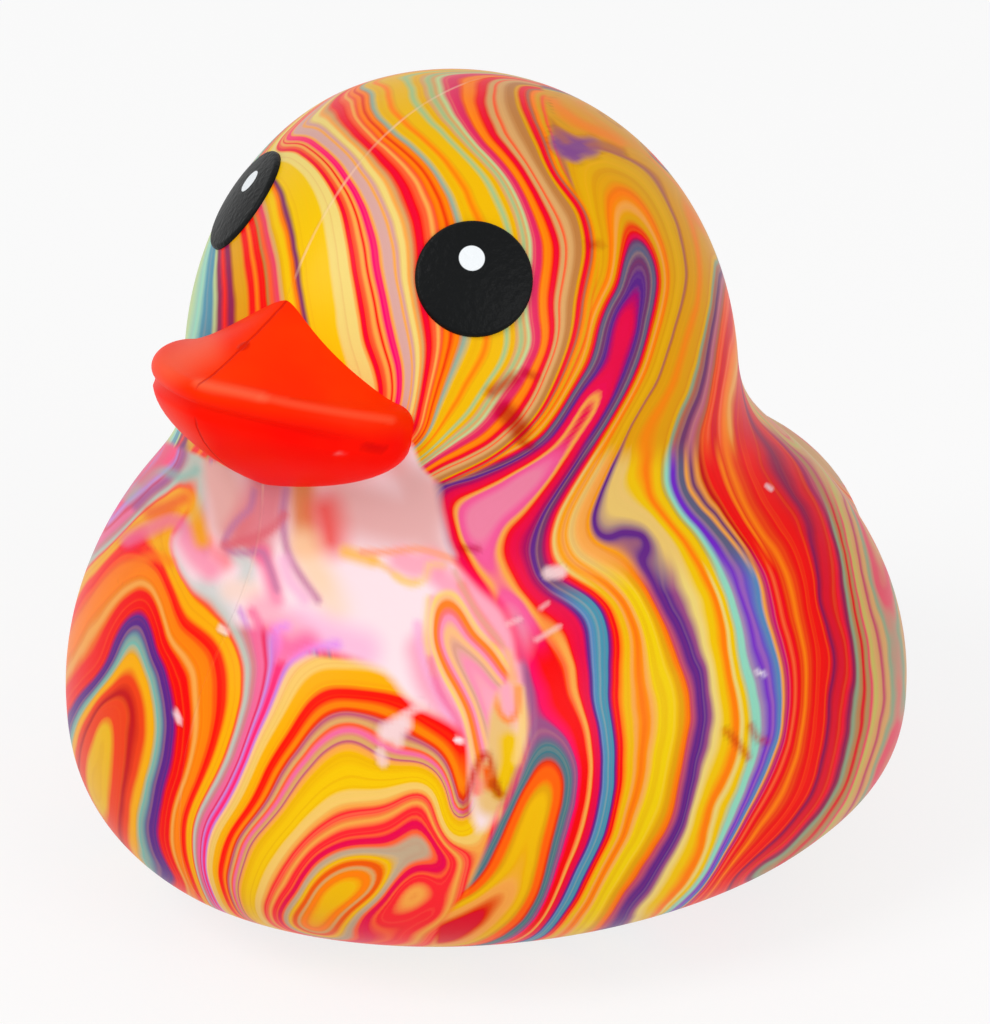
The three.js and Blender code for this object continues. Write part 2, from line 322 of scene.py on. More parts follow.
BODY_A = ink_bands("""
-34 crimson, -26 apricot, -20 gold, -17 amber, -8 flame, -5 red_orange, 6 slate_teal, 12 mauve,
14 hot_pink, 22 scarlet, 23.5 salmon, 27.5 apricot, 30 rose_red, 36 magenta_red, 39 purple, 41 blue,
51.5 teal, 53 purple, 60 scarlet, 62 orange, 68 gold, 71 apricot, 77 orange, 80 apricot, 92 lemon,
96 amber, 99 orange, 101 rose_dusk, 108 purple, 110 mauve, 115 cream, 120 yellow, 125 orange, 128 cream,
131 yellow, 138 aqua, 140 lilac_grey, 147 violet, 152 blue, 154.5 apricot, 158 rose_dusk, 161 magenta,
166 rose_red, 172 salmon, 177 rose_red, 184 red_orange, 189 orange, 195 red_orange, 214 scarlet,
216 crimson, 219 plum, 228 crimson, 231 rose_red, 234.5 plum, 237 sage, 240 olive_tan, 242 crimson,
246 olive_tan, 248 rose, 251 olive, 255 tan, 257 rose_dusk, 261 tan, 263 sage, 267 rose, 270 tan,
273 rose, 276 gold, 279 orange, 281 scarlet, 290 crimson""")
NECK_A = ink_bands("""
17 pink_cool, 22 pink, 25 apricot, 29 rose_red, 35 magenta_red, 40 plum_soft, 44 purple, 50 dusk,
53 plum_soft, 58 magenta_red, 61 salmon, 66 gold_pale, 72 orange_pale, 77 apricot, 80 orange_pale,
88 gold_pale, 98 apricot, 101 orange_pale, 106 purple, 116 gold_pale, 120 yellow, 125 orange,
132 yellow, 135 olive, 138 aqua, 144 violet, 149 slate_dusk, 151 apricot, 154 dusk, 157 apricot,
160 dark_red, 174 scarlet, 178 orange, 181 red_orange, 188 orange, 196 red_orange, 212 scarlet,
217 crimson, 221 plum, 229 crimson, 232 plum_soft, 236 rose_dusk, 240 olive_tan, 243 rose_dusk, 248 tan,
251 olive, 256 tan, 259 rose, 290 tan""")
HEAD_A = ink_bands("""
22 pink_hot, 25 apricot, 28 pink_hot, 34 magenta_red, 40 purple, 44 dusk, 50 slate_dusk, 52 dusk,
55 magenta_red, 60 red_orange, 64 amber, 69 apricot, 76 orange, 84 amber, 101 gold_head, 105 dusk_rose,
118 ochre, 124 orange_amber, 134 ochre, 137 gold_head, 140 sage, 143 dusk_rose, 150 dusk,
155 dusty_rose, 159 dusk_rose, 164 red_orange, 169 salmon, 178 crimson, 184 salmon, 190 orange,
196 apricot, 214 crimson, 220 plum, 232 crimson, 238 tan, 241 apricot, 244 olive, 250 tan, 252 salmon,
262 tan, 266 rose, 290 tan""")

# Contour lines and inks of the face.
B_LINES = contours("""
-12: 196,268 190,290 186,320;
9: 213,246 211,260 209,280 208 206,318;
18: 217,246 216,262 216,280 217,300 217,318;
34: 232,243 232,262 233,280 234,300;
46: 240,236 243,250 245,265 248 250,300;
66: 255,222 259,240 261,260 264 266,302;
77: 262,214 267,230 271,250 274 276 277,304;
98: 271,180 277,190 282,202 287,218 292,236 296,256 298 300 304,312;
124: 290,160 303,172 312,188 319,205 324,225 327 329 332,290 336,320 340,345;
148: 278,146 300,156 318,170 331,186 339,200 344,215 348,232 351,250 354,270 358 361 364 368;
163: 340,184 350,198 358,220 363,245 366,268 370,290 374,310 378 384,352;
172: 285,136 305,140 322,150 336,164 347,180 357 366,215 373,240 377,262 380,285 384,305 389 394,348
    400,375;
186: 300,126 318,139 336,153 351,170 363 373,206 381,228 386 388,270 391 396 401,335 406,355 409,378;
200: 315,118 330,128 347,142 363,160 377,182 389,205 397 402,250 404,270 406 410 414 418,352 418,378
    415,400;
216: 338,100 348,122 362,140 378,154 392,170 403,187 411,206 417,228 419,245 418,275 420,300 425,322
    428,342 427 423,385 418,410 417,430;
238: 362,84 361,105 370,122 386,138 402,150 417,163 428,177 438,195 445,215 450;
238: 452,336 447,355 440,375 434 428 424,432;
248: 374,80 373,100 378,112 388 398,133 410,143 422,154 432,166 440 448,192 453,205 457,220;
248: 464,338 461,350 456 450,378 443 436 430,425 425;
262: 384,78 385,92 390 401 415 430,147 443 453,172 461 468,198 474,215;
262: 488,340 485,350 479,361 472,375 466,388 459,402 448,420 436,436 425,450;
280: 412,76 416,95 424,112 440,128 460,149 480,172 495,193 505,215 511,234;
280: 505,335 508,348 502,362 492,380 480 466,415 450,430 435,442;
292: 430,76 432,92 440,110 455 475,148 492,166 507,186 517,208 523,235;
292: 520,322 521,342 515,360 503,380 490,398 475,418 458,434 440,448;
306: 447,80 455,100 464,118 476,139 494 512,180 522 532 537 537,262 535,282 533,300 534,320 536 528 514
    502,398 490,415 470,436 448,450 425,462;
316: 474,80 468,100 474 487 505 521 531 541 547 547 545 543 545 547 540,358 531,380 521,400 505 485,438
    462,452 435,465;
325: 486,84 480,100 486,120 498 514 528 538 549 556 556 553 551 552 553 546 538 528,402 512 490,443
    465,457 440,468;
336: 500,84 498,100 503,120 512 526 540 549 560 567 568,262 565,280 562,300 561 559 553 545 536,402 520
    498,444 472,460 445,473;
358: 522,86 522,102 530,122 538,140 546 553,174 563,188 576,203 583,220 588,238 587,258 582,280 577,300
    574 569,343 562,362 553,382 542,404 526 505,446 480,463 455,476;
371: 538,96 542,118 550 556,160 564,178 577,192 589,210 597,235 597 593 588 585 577,358 567,380 555
    538,425 515,446 490,464 460,479""")
INK_B = ink_bands("""
-4 mint, 4 aqua, 15 teal, 18 mint, 23 plum, 27 scarlet, 34 plum, 46 amber, 54 scarlet, 58 orange,
66 scarlet, 69 brown, 74 salmon, 79.5 rose, 83 tan, 92 yellow, 96 orange, 100 dusk, 124 yellow,
143 cream, 145 apricot, 152 rose_red, 156 salmon, 161 apricot, 164 rose_red, 168 apricot, 177 hot_rose,
180 apricot, 191 grey_rose, 194 apricot, 197 grey_rose, 204 cream, 207 apricot, 211 tan, 221 rose_red,
226 salmon, 229 apricot, 233 salmon, 237 orange, 240 red_orange, 245.5 orange, 250.5 sage_blue,
260 gold, 264.5 orange, 277 gold, 281.5 mint_green, 287 gold, 290 tan, 294 mint_green, 297 tan,
300 mint, 311 magenta_rose, 320 orange, 328 rose_red, 333 tan, 335 salmon, 343 tan, 352 brown,
355 amber, 362 rose_red, 365 dusk_rose, 369 orange, 373 amber, 376 salmon, 384 amber, 387 orange,
420 amber""")

# Contour lines and inks of the breast.
C_LINES = contours("""
104: 100,800 100,760 104,730;
122: 112,840 116,800 120 121,725 120,700;
135: 80,738 90,716 102,698 112,689 122,682 131,684 138,695 141,720 139 133 128,800 125 128,856;
145: 78,730 88,709 100,692 112,679 122,667 131,661 140,672 145,690 149,712 149,735 146,760 140 135
    132,840 138,866;
154: 84,703 98,687 110,672 120,655 127,642 133,637 139,645 146,662 152,680 156,700 158 157,745 152
    146,790 141 141,840 149,868;
164: 78,706 90,692 103,679 112,661 121,641 130,625 138,620 144,632 150,650 158 164,690 168,710 168,735
    164 158 153 152,840 160;
173: 74,700 88,683 100,670 108,651 118,630 128,615 138,611 148,620 156,645 164,665 171,690 174 173,745
    168 163,800 160,830 165,858 178,880;
190: 72,672 88,645 104,622 118,602 130,591 140,587 152,594 162,612 167,632 172,648 184,660 190,676
    192,700 194,730 190,755 185 176 170 173,857 184,880;
204: 78,630 96,600 115,582 132,571 148,570 160,580 166,600 174,628 188,643 198,655 205,680 205 205,735
    199,760 190 181 177 181,862;
218: 84,592 98,576 114,556 132,545 148,550 160,568 170,592 179 192,628 206 216,655 222,675 222,700 219
    212 204,772 194,795 186,820 184 190,872;
231: 152,528 160,548 168,567 178,588 190,606 202,618 216,629 226,645 233,665 234,690 230 223 215,762
    203,785 194 189,828 189,850;
231: 100,562 118,542 134,525 150,512 168,500 188,492;
244: 212,585 220,606 232,628 241,645 247 248,680 245,700 240 233,745 225,765 214 204,800 196,816 192,836
    196,862;
244: 102,549 113,540 126,527 142,510 158,496 172,486 186,480 196,472 198,456 190,442;
264: 112,522 124,503 143,490 162,475 175,462 179,445 174,430;
275: 128,492 142,475 157 168,440;
254: 250,612 254,630 257,650 257 255 250 244,735 237,755 228 218 208,812 200,830 200,850 203,874;
264: 272,624 270,642 270 267,680 262 256,718 249,738 243 233,782 222,802 211,820 205,840;
277: 345,640 320,648 305,655 292,665 284,676 278,690 272,703 264,720 257,735 250,752 243,770 236,785
    226,803 215,824 208;
292: 395,668 360,663 325,662 305,668 293,684 285,702 275,722 264 255 246,784 236,805 223,825 213 209,872;
306: 405,690 380,684 360,681 335,680 318,684 304,697 293,716 281,736 268,755 258,775 248 236 225 217 214;
321: 466,806 465,785 464,762 456,742 440,729 422,720 410,706 390,698 360,694 335,692 318,699 304,715
    290,735 278,752 268,772 258 246 234,828 224,845 219,870;
331: 462,803 461,782 455,757 442,742 422,731 400,719 375,709 355,705 335,705 320,713 306,728 292,745
    280,765 270 257 243,823 231,842 225,870;
340: 458,806 456,785 448 435,750 415,741 395,728 375,719 355,714 342,713 328,718 314,732 300,748 286,768
    275 262,810 247,829 236,850 230,874;
352: 452,812 449,790 440,770 425,757 405,752 388,748 372,738 358,730 344,729 330,735 315,748 300,765
    287,785 273,806 258,826 244 237,872;
366: 452,830 446,802 436,780 420,766 400,764 380,758 364,748 350,744 335,748 318,763 303,782 290,800 275
    258,838 247,860 242,880;
390: 450,842 444,812 434,789 418,776 395,780 370,778 350 330,784 310,800 290,825 272,848 258,870 250,890;
410: 440,796 425,785 400,793 380,797 350 326,812 306,828 288,848 273,871 264,892;
426: 448,850 442,820 432,800 420,794 403,801 380 350,812 325,822 308,838 292,855 277,875 270,897;
434: 438,830 428,808 416,803 402,810 380,818 352,822 330,832 312,846 295,864 283,887;
441: 434,838 422,816 410,812 398,820 380 355,831 335,840 316,853 300,872 290,892;
452: 440,840 420,826 408,828 392,838 370,843 345,843 325,851 308,866 297,884;
463: 446,868 444,848 430,842 410,846 385,853 360,851 340,854 322,863 306,880 293,902;
478: 392,866 378,866 355,864 335,871 318,882 305,900 298,920;
490: 302,924 314,900 330,884 350,873 368,874 374,883 366,893 350,904 336,917 324,932;
500: 312,924 322,906 336,892 352,883;
466: 405,858 393,872 384,888 368,903 350,919 336,934;
452: 365,918 382,902 396,884 412,871 430,863 441,872 443,890 438 425,920 395,930 370,938;
441: 378,918 395,903 405,890 416,879 428,873 435,883 433,900 420,911 400,918;
430: 402,903 412,890 421,885 425,895 414;
426: 455,870 450,895 440,918 415,934;
434: 462,850 462,875 458 448,920 430,938;
412: 472,830 474,860 470,885 460 440,936;
420: 484,800 484,830 478;
405: 500,770 494,800 488""")
INK_C = ink_bands("""
112 gold, 126 red_orange, 131 dark_red, 140 red_orange, 150 amber_yellow, 158 aqua_teal, 172 purple,
189 scarlet, 197 apricot, 211 orange, 224 red_bright, 237 amber_yellow, 240 salmon, 247 grey_mint,
252 dusk_pink, 259 rose_pink, 262 magenta_rose, 266 lilac, 274 hot_pink_soft, 278 lilac,
284 cream_peach, 298 cream_gold, 312 amber_yellow, 314 orange, 327 red_bright, 334 orange,
337 red_orange, 342 mauve_rose, 347 tan, 350 salmon, 356 rose_pink, 361 tan, 363 mauve_rose,
369 apricot, 380 gold, 400 yellow, 414 cream_gold, 420 apricot, 430 red_pink, 437 apricot, 446 red_pink,
448 salmon, 456 magenta_red2, 459 salmon, 468 grey_tan, 474 gold, 482 red_orange2, 486 tan, 494 orange,
520 gold""")

# Contour lines and inks of the loop beside the pale patch.
E_LINES = contours("""
0: 434,590 430,612 428,636 434,664 446,690 457,712 464,735 468,760;
8: 446,594 437,602 433,620 433,640 440,664 452 461,706 467,728 471,755;
14: 478,750 472,722 466,700 454,680 443 438 437 440,606 448,601 455,607 460,622 468,635 480,645 492,653
    499,662;
22: 482,745 476,718 469,694 458,674 447,655 441 441,620 447,609 452,612 457,627 466,640 478,650 490
    498,676;
30: 484,738 479,712 472,690 462,670 451,652 444,636 444,624 448,618 453,630 463,644 475,655 487,668;
40: 486,720 480,700 472 462,662 452,646 448,634;
46: 484,700 476,680 466,664;
0: 458,590 468,606 478 492,636 505,648 510,668""")
INK_E = ink_bands("""
3 pink_light, 8 straw, 11 peach, 17.5 coral_orange, 21 coral_pink, 26 blush_pink, 31 peach, 35 tan_pink,
40 blush_pink, 46 pink_light, 60 straw""")

# Outlines, in the picture, of the zones where each print shows.
HEAD_ZONE = places("""
440,40 760,40 800,380 770,430 720,450 660,455 600,450 556 500 430,440 400,300""")
NECK_ZONE = places("""
430,360 800,360 850,430 830 790,540 740,562 690,570 640,572 590,580 560,600 540,640 500,660 440,640
420,500""")
B_ZONE = places("""
100,30 530,30 540,80 545,100 553,130 560,158 568,180 582,200 592,222 598,250 596,280 591,305 588 583,350
574,372 562,392 548,414 530 512,450 490 465,476 440,482 420,466 400,440 300,480 160,440 100""")
C_ZONE = places("""
30,400 150,400 190,430 215,480 215,560 300,650 420,660 440,690 462 470,745 480,750 500,735 528,738
522,770 507,805 493,832 478,866 465,892 440,925 420,960 300,990 30,900""")
D_ZONE = places("""
203,465 260,440 420,440 436,480 444 452,550 476,578 500,600 516,630 524,665 530 531 520 506,800 492,820
478,830 470,800 470 468,745 458,730 440,718 415,705 400,690 385,672 350,658 325,652 305,656 290,662
278,660 275,640 262,628 240,626 228,618 212,600 196,590 180,566 172,545 180,535 205,556 206,520""")
E_ZONE = places("""
431,596 446,590 460,594 474,618 490,640 504,652 508,675 498,690 490,715 486,745 476,770 470,750 462,722
450,700 436,668 430,635""")

# Soft strokes of the pale patch; the first three lay painted shade under the bill.
WASHES_AND_SHADE = brushwork("""
dusty_blush 60 20 1: 345,505 380,515 410,520 425,500;
dusty_blush 24 12 0.9: 400,470 415,490 425,530 440,560;
shade_pink 44 14 0.9: 215,470 225,495 230;
rose_mist 46 14 0.85: 268,485 262,512 250,535;
rose_mist 20 9 0.6: 262,552 245,548 228,552;
tan_peach 26 10 0.95: 303,480 303,510 306,545;
rose_cloud 30 18 0.95: 325,510 329,528 330,540;
peach_pale 30 14 0.8: 303,545 315,572 340,605;
milk 60 24 0.8: 370,600 400,600 400,640 370,625;
milk 20 10 0.7: 196,560 210,575;
rose_soft 18 9 0.8: 208,545 216,556 224,562;
aqua_white 26 10 0.9: 206,590 216,602 222,612;
aqua_white 16 7 0.9: 240,556 247,566 246,578;
cream_milk 22 9 0.8: 232,590 250,592;
pink 16 7 0.75: 262,554 270,574 276,600;
lilac_dusk 7 3.5 0.8: 254,492 250,508 236,522 225,540 230,551 248,553 262,552 270,568 277,590;
lilac_dusk 8 4 0.85: 286,490 283,515 285 290,558 302,578 318,600;
orchid 12 6 0.7: 284,560 290,580 305,598;
rose_mist 9 4 0.8: 284,515 270,530 245,541 225,545;
orchid 40 16 0.75: 300,628 330,640 360,650;
pink_light 30 12 0.8: 262,610 280,625 300;
pink_bloom 30 11 0.9: 268,640 288,652 306,648;
rose_pink 10 4 0.8: 252,612 262,632 262,660 258,680;
violet_pink 9 6 0.8: 286,626 276,630 276,642 273,660 268,676;
violet_pink 11 6 0.85: 336,645 322,648 306,655 290,668 282,682;
magenta_rose 8 4 0.7: 282,664 278,680 272,694;
lilac 6 3 0.7: 240,610 248,630 252;
amber_wisp 13 6 0.9: 346,552 358,556 372;
amber_wisp 7 3.5 0.7: 372,560 390,570 402 416,582;
pink_light 26 9 0.95: 402,560 416,566 430,562;
peach_line 7 3 0.9: 362,552 390,552 416,549 436,553 456,562 468,578;
straw 8 4 0.7: 396,576 412,584 426,578 430,566 442,566;
blush_pink 22 9 0.8: 440,578 455,590 470,610;
blush_pink 34 12 0.8: 424,650 432,680 448,706 462,728;
orchid 10 5 0.8: 418,625 422,652 434,684 452,720;
straw 9 4 0.8: 430,600 428,640 436,672;
rose_pink 10 4 0.8: 432,660 440,690 458,718 466,738;
pink_light 60 14 1: 478,590 500,640 508,700;
tan_soft 34 9 1: 486,700 498,730 500,765 492;
yellow_deep 18 7 0.95: 510,742 510,765 502,790;
mauve 12 6 0.9: 522,620 527,660 531 531 522,772 508,806;
straw 11 4 0.9: 519,690 523,725 517;
hot_pink 13 6 0.85: 462,560 482,584 505,606 518,632 522,655;
coral_pink 9 4 0.8: 462,585 472,605 488,628 502,650 512,678;
tan_pink 6 3 0.7: 455,572 467,596 482 500,642 508,662;
peach 12 5 0.8: 506,655 512,680 517,700;
coral_orange 9 4 0.9: 494,648 499,662;
rose_red 6 3 0.7: 500,668 503,680;
pink_light 14 5 0.9: 506,690 508,710;
coral_orange 6 3 0.8: 518,688 517,712 508,721 500,713 494,697;
amber_wisp 10 4 0.9: 486,682 490,700;
coral_pink 12 4 0.9: 478,735 479,760 476,790;
tan_soft 8 4 0.9: 485,764 483,776""")

# Strokes, spots and marks that lie over every layer.
MARKS = brushwork("""
spot_violet 20 6 0.95: 560,142 574,148 590,147;
spot_violet 12 4 0.9: 566,152 576,157;
dusk_rose 8 3 0.7: 555,130 566,141;
dusk_rose 8 3 0.8: 590,145 606,145 622,152;
orange_amber 9 4 0.85: 556,104 562,113 578,124 600,132 622,143;
ochre 12 5 0.7: 566,100 590,112 620,130 645,150;
smudge 20 7 0.75: 505,412 512,418 520,430;
smudge 12 5 0.7: 492,392 502,386 514,378;
smudge 8 4 0.6: 524,372 534,376;
smudge 8 4 0.6: 520,442 530,446;
smudge 7 4 0.5: 590,245 600,244;
smudge 7 3.5 0.55: 462,548 478,549;
brick 7 3.5 0.65: 726,731 738,744 748;
smudge 7 3.5 0.6: 751,726 757,738 766,741;
rose_pink 16 7 0.75: 128,540 148,530 170 188,528;
blush_pink 22 9 0.85: 186,540 196,556 210,570;
amber_yellow 16 7 0.8: 190,500 196,518 202,540;
red_orange 12 6 0.7: 150,512 168,506 184,498;
coral_orange 10 5 0.7: 124,575 138,562 156,556 170,562;
purple 8 4 0.6: 136,506 150,492 166,480 180,462 184,446;
aqua_teal 9 5 0.6: 128,498 144,480 160,470 184,478 196,470;
magenta_rose 9 5 0.6: 140,480 156,464 168,446;
fleck 13 4 0.9: 549,573 560,572;
fleck 20 6 1: 388,732 402,724;
fleck 11 5 0.9: 398,742 396,730;
fleck 8 5 0.8: 406,714 422,705;
fleck 10 4 0.8: 380,752 383,762;
fleck 4.5 3 0.55: 541,608 548,603;
fleck 5 3 0.55: 508,624 520,619;
fleck 4.5 3 0.6: 536,640 560,626;
fleck_white 6 3 1: 457,740 461,741;
fleck_white 5 3 0.9: 176,712 180,722;
fleck_white 5 3 0.8: 757,672 764,674;
fleck_white 4 3 0.8: 767,486 771,489;
fleck_white 6 3 0.8: 220,628 226,632;
brick 6 4 0.85: 466,812 468,790 475,770 482,756 487,754 491,764 495,782 500,794;
red_orange 8 5 0.8: 486,770 489,786;
brick_dark 8 5 0.8: 493,784 498,794""")

# Strokes on the bill: a painted highlight along the lip and painted light below it, painted shade in the
# mouth groove, and a fleck.
BILL_LIGHT_AND_MARKS = brushwork("""
lip_light 9 4.5 0.6: 198,383 215,387 240,392 262;
lip_light 7 3.5 0.35: 262,397 300,405 345 392,420;
lip_light 30 14 0.45: 168,368 185,358 206;
groove_dark 4 2.5 0.5: 362,446 384,447;
lower_light 26 12 0.35: 168,412 180,430 196;
fleck 3 2 0.6: 340,454 341,454""")

# Display colours of the inks.
INKS = {name: tuple(map(int, colour)) for name, *colour in (ink.split() for ink in """
crimson 222 18 46, gold 238 186 56, flame 255 96 0, slate_teal 66 116 128, mauve 150 80 130,
scarlet 245 0 0, salmon 250 112 84, apricot 244 170 96, magenta_red 232 24 74, purple 94 48 132,
teal 78 146 170, orange 255 128 20, lemon 240 206 60, cream 236 212 130, yellow 242 194 10,
aqua 150 214 190, violet 122 66 196, blue 96 138 186, magenta 205 50 120, plum 140 20 80,
sage 140 160 130, olive 190 184 100, rose 232 92 112, tan 216 166 112, pink 242 110 160,
dusk 112 58 104, red_orange 240 60 0, dusk_rose 180 110 90, dusty_rose 190 110 130, amber 226 160 20,
hot_pink 255 50 100, milk 246 224 229, brown 190 130 80, mint 190 210 150, dark_red 196 12 20,
lilac 200 130 210, rose_red 240 40 62, hot_rose 250 66 120, grey_rose 214 168 160,
sage_blue 138 168 150, mint_green 168 192 136, magenta_rose 226 74 110, amber_yellow 246 172 20,
aqua_teal 122 180 168, red_bright 252 24 10, grey_mint 186 190 178, dusk_pink 196 120 140,
rose_pink 238 120 160, hot_pink_soft 252 80 130, cream_peach 250 200 140, cream_gold 240 200 116,
mauve_rose 190 96 120, red_pink 250 80 84, magenta_red2 232 50 90, grey_tan 190 168 140,
red_orange2 240 106 60, blush_pink 246 152 180, pink_light 250 172 190, peach 250 190 140,
coral_orange 250 140 80, coral_pink 248 130 120, tan_pink 220 170 150, pink_cool 236 140 168,
gold_pale 233 198 122, orange_pale 246 164 70, slate_dusk 96 96 124, plum_soft 168 40 96,
rose_dusk 196 84 110, olive_tan 180 142 96, lilac_grey 164 142 176, gold_head 229 172 44,
ochre 226 156 12, orange_amber 246 134 10, pink_hot 236 50 96, dusty_blush 228 178 176,
rose_cloud 234 100 96, tan_peach 220 138 88, peach_pale 248 212 174, rose_mist 216 112 122,
lilac_dusk 188 124 160, shade_pink 222 168 160, rose_soft 250 140 150, aqua_white 204 210 206,
cream_milk 240 216 200, orchid 240 178 214, violet_pink 222 144 230, pink_bloom 253 112 164,
peach_line 248 168 140, amber_wisp 246 190 100, spot_violet 130 76 140, smudge 176 10 24,
fleck 240 208 208, fleck_white 246 236 240, tan_soft 230 190 130, straw 244 206 130,
yellow_deep 236 190 20, brick 196 44 30, brick_dark 168 40 4, lip_light 255 112 74,
groove_dark 190 0 10, lower_light 255 74 40""".split(","))}


def linear(colour):
    """Scene-linear values of a 0 to 255 display colour."""
    return tuple(c / 255 / 12.92 if c <= 10.3 else ((c / 255 + 0.055) / 1.055) ** 2.4 for c in colour)


# Rows of a layer value and the turn from the picture's view, in degrees, at which a wavy upright
# contour line carries the layers round the side that the picture doesn't show.
HIDDEN_A = [(300, 100), (345, 115), (390, 130), (430, 145), (480, 160), (530, 175), (580, 190)]
HIDDEN_B = [(-42, -100), (-78, -114), (-118, -130), (-158, -148), (-192, -166), (-215, -184)]
HIDDEN_C = [(222, -102), (250, -114), (280, -128), (315, -144), (350, -160), (385, -176), (410, -190)]
GUIDE_HEIGHTS = np.arange(4, 84, 8.0)
GUIDE_WAVES = ((7, 11, 37), (4, 5.5, 19))  # degrees, and the height and value over which each turns
HEAD_FROM, HEAD_AXIS, BODY_AXIS = 45, -5.0, 2.0


def guides(layer):
    """Points of the skin along the hidden contour lines, and the layer value of each."""
    at = []
    values = []
    for value, turn in layer:
        for height in GUIDE_HEIGHTS:
            wave = sum(size * math.sin(height / rise + value / pace) for size, rise, pace in GUIDE_WAVES)
            heading = VIEW_TURN + math.radians(turn + wave)
            axis = np.array([0.0, HEAD_AXIS if height > HEAD_FROM else BODY_AXIS, height])
            aim = np.array([[math.sin(heading), -math.cos(heading), 0.0]])
            at.append(leave(axis, aim)[0])
            values.append(float(value))
    return np.array(at), np.array(values)


def picture(points):
    """Where points fall in the picture, and whether each faces it."""
    away = VIEW_EYE - points
    depth = away @ VIEW_BACK
    x = VIEW_MIDDLE[0] - VIEW_FOCUS * (away @ VIEW_RIGHT) / depth
    y = VIEW_MIDDLE[1] + VIEW_FOCUS * (away @ VIEW_UP) / depth
    return np.stack([x, y], -1), (normals(points) * away).sum(1) > 0


def reach(spots, line):
    """How far each place is from a line, in pixels."""
    nearest = np.full(len(spots), 1e9)
    for a, b in zip(line[:-1], line[1:]):
        step = b - a
        t = np.clip(((spots - a) @ step) / max(step @ step, 1e-9), 0, 1)
        nearest = np.minimum(nearest, np.linalg.norm(spots - a - t[:, None] * step, axis=1))
    return nearest


def within(spots, outline):
    """How far inside a smooth closed outline each place is, in pixels; negative outside."""
    ring = smooth_line(outline + outline[:1], 12.0)
    inside = np.zeros(len(spots), bool)
    x, y = spots[:, 0], spots[:, 1]
    for a, b in zip(ring[:-1], ring[1:]):
        if a[1] != b[1]:
            crossing = (b[0] - a[0]) * (y - a[1]) / (b[1] - a[1]) + a[0]
            inside ^= ((a[1] > y) != (b[1] > y)) & (x < crossing)
    nearest = reach(spots, ring)
    return np.where(inside, nearest, -nearest)


def strokes(spots, seen, table, base=None):
    """Colour and cover that soft strokes leave, one over another, on a base ink or on nothing."""
    colour = np.zeros((len(spots), 3))
    cover = np.zeros(len(spots))
    if base:
        colour[:] = linear(INKS[base])
        cover[:] = 1.0
    for ink, width, soft, strength, line in table:
        ring = smooth_line(line, 8.0)
        middle = ring.mean(0)
        near = seen & (np.abs(spots - middle).max(1) < np.abs(ring - middle).max() + width + soft)
        share = strength * (1 - ease(reach(spots[near], ring), width / 2 - soft, width / 2 + soft))
        total = share + cover[near] * (1 - share)
        part = np.where(total > 0, share / np.maximum(total, 1e-9), 0.0)[:, None]
        colour[near] = colour[near] * (1 - part) + np.array(linear(INKS[ink])) * part
        cover[near] = total
    return np.concatenate([colour, cover[:, None]], 1)


NECK_HEIGHT = 46.0
MELT = 0.12  # how slowly the zones give way to one another on the side away from the picture
HEAD_RISE, NECK_FALL = 40, 90
FACE_EDGE, BREAST_EDGE = 535, 470
FAR_OUTSIDE = -200.0
LEAST, MOST = -400, 900  # limits of the kept layer values and zone depths
NECK_WAVES = ((12, 5.0),)
SIDE_WAVES = ((30, 6.5), (14, 2.9))


def waves(at, table):
    return sum(size * np.sin(at / pace) for size, pace in table)


def print_fields(points):
    """Layer values, zone depths and stroke colours at points of the skin."""
    out = {}
    for name, lines, hidden in (("a", A_LINES, HIDDEN_A), ("b", B_LINES, HIDDEN_B),
                                ("c", C_LINES, HIDDEN_C), ("e", E_LINES, ())):
        at, values = contour_points(lines)
        if hidden:
            more_at, more = guides(hidden)
            at, values = np.vstack([at, more_at]), np.concatenate([values, more])
        out["ink_" + name] = read_field(fit_field(at, values), points)
    spots, seen = picture(points)
    height = points[:, 2]
    above = (height - NECK_HEIGHT) * VIEW_FOCUS / VIEW_REACH + waves(points[:, 0], NECK_WAVES)
    aside = waves(height, SIDE_WAVES) - spots[:, 0]
    for name, outline, hidden in (
            ("head", HEAD_ZONE, MELT * 2 * (above - HEAD_RISE)),
            ("neck", NECK_ZONE, MELT * 2 * (above + NECK_FALL)),
            ("b", B_ZONE, MELT * np.minimum(above, FACE_EDGE + aside)),
            ("c", C_ZONE, MELT * np.minimum(-above, BREAST_EDGE + aside)),
            ("d", D_ZONE, FAR_OUTSIDE), ("e", E_ZONE, FAR_OUTSIDE)):
        out["zone_" + name] = np.where(seen, within(spots, outline), hidden)
    out = {key: np.clip(value, LEAST, MOST) for key, value in out.items()}
    out["wash_and_shade"] = strokes(spots, seen, WASHES_AND_SHADE, "milk")
    out["marks"] = strokes(spots, seen, MARKS)
    return out


# Meshes.
MM = 0.001


def make(name, points, faces, fields):
    """A smooth mesh object from points in millimetres before centring, with values on its points."""
    at = (np.asarray(points, float) + (0, CENTRING, 0)) * MM
    mesh = bpy.data.meshes.new(name)
    mesh.from_pydata(at.tolist(), [], faces)
    mesh.validate()
    for key, values in fields.items():
        kind, part = ("FLOAT", "value") if np.ndim(values) == 1 else ("FLOAT_COLOR", "color")
        layer = mesh.attributes.new(key, kind, "POINT")
        layer.data.foreach_set(part, np.asarray(values, np.float32).ravel())
    mesh.polygons.foreach_set("use_smooth", np.ones(len(mesh.polygons), bool))
    mesh.update()
    thing = bpy.data.objects.new(name, mesh)
    bpy.context.scene.collection.objects.link(thing)
    return thing


